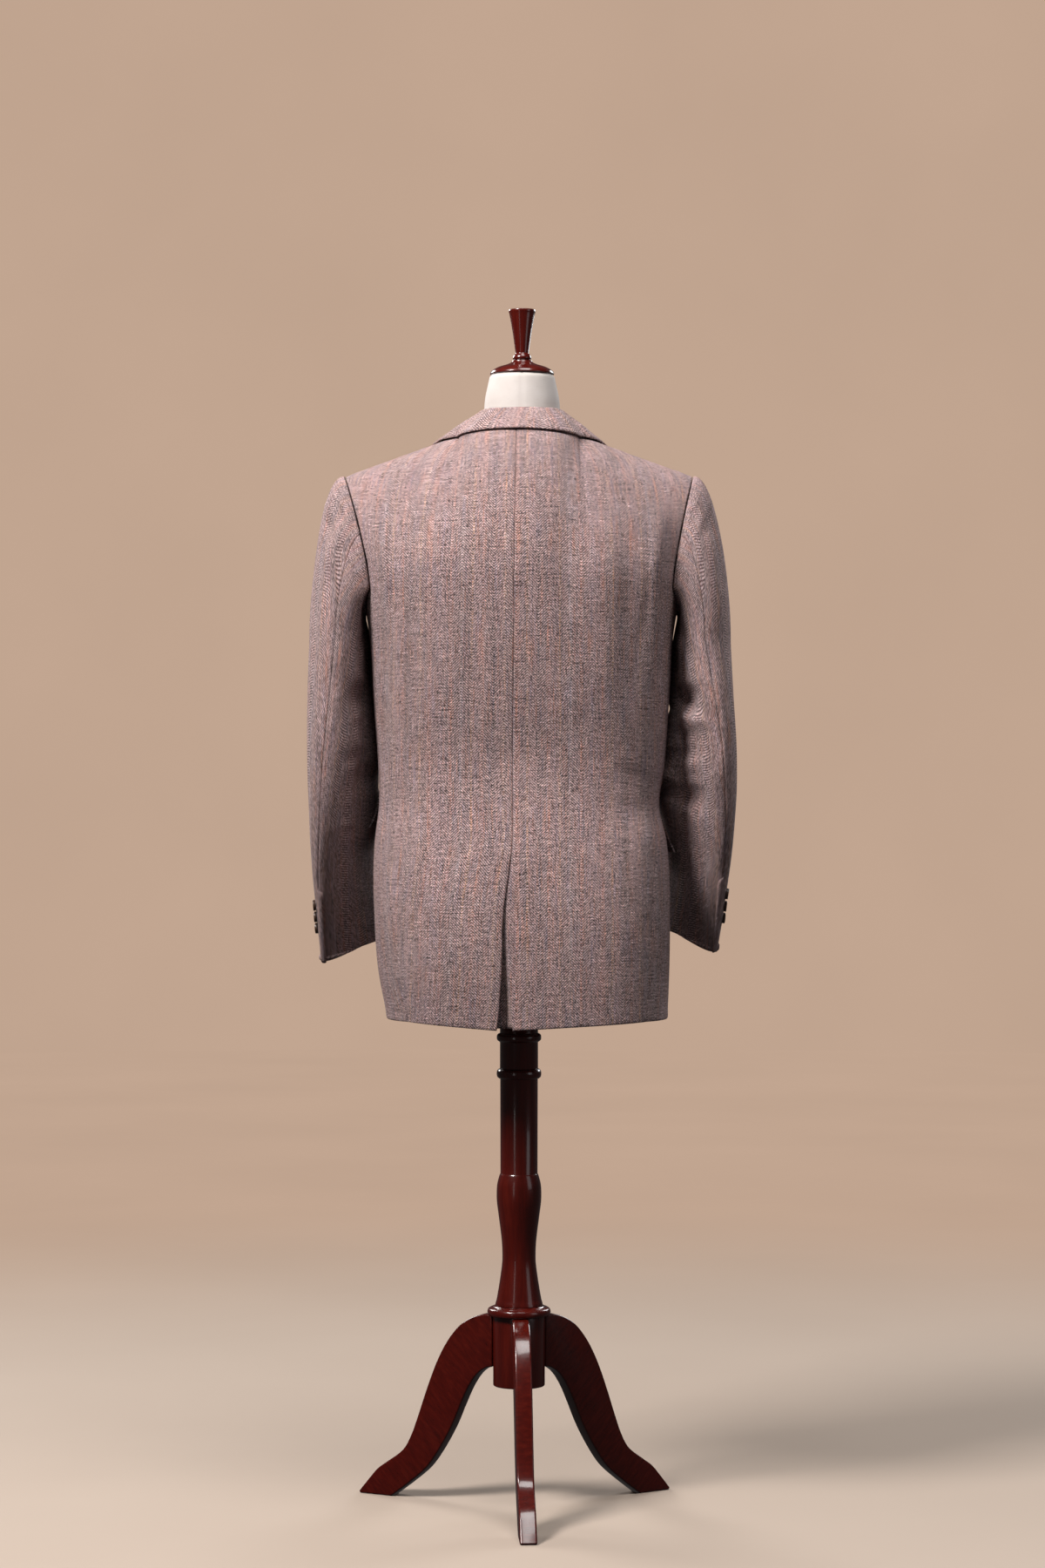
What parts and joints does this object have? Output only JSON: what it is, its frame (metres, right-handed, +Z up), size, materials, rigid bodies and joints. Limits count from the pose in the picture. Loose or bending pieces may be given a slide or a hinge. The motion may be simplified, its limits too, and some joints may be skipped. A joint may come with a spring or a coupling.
{
  "type": "tweed blazer on a limbless dress form and stand",
  "caption": "Single-breasted herringbone tweed blazer with notched lapels and a centre vent, filled out by a limbless dress form on a turned column with a tripod foot.",
  "frame": {"origin": "centre of the footprint, on the floor", "axes": "+Z up; the fronts of the blazer face -Y and its back faces +Y; +X is the wearer's left"},
  "size_m": [0.5492, 0.3866, 1.54],
  "materials": {
    "tweed": "dusty mauve herringbone wool tweed, rough",
    "form_cover": "cream jersey, matt",
    "mahogany": "dark red mahogany, gloss varnish",
    "button": "dark brown, satin"
  },
  "bodies": {
    "root": {"back_left": "tweed", "side_left": "tweed", "front_left": "tweed", "lapel_left": "tweed", "top_sleeve_left": "tweed", "under_sleeve_left": "tweed", "pocket_flap_left": "tweed", "back_right": "tweed", "side_right": "tweed", "front_right": "tweed", "lapel_right": "tweed", "top_sleeve_right": "tweed", "under_sleeve_right": "tweed", "pocket_flap_right": "tweed", "vent_underlap": "tweed", "collar": "tweed", "cuff_button_left_1": "button", "cuff_button_left_2": "button", "cuff_button_left_3": "button", "cuff_button_right_1": "button", "cuff_button_right_2": "button", "cuff_button_right_3": "button", "front_button_1": "button", "front_button_2": "button", "dress_form": "form_cover", "finial": "mahogany", "neck_cap": "mahogany", "column_top": "mahogany", "column_turned": "mahogany", "base_moulding": "mahogany", "hub": "mahogany", "leg_back": "mahogany", "leg_left": "mahogany", "leg_right": "mahogany"}
  },
  "joints": []
}
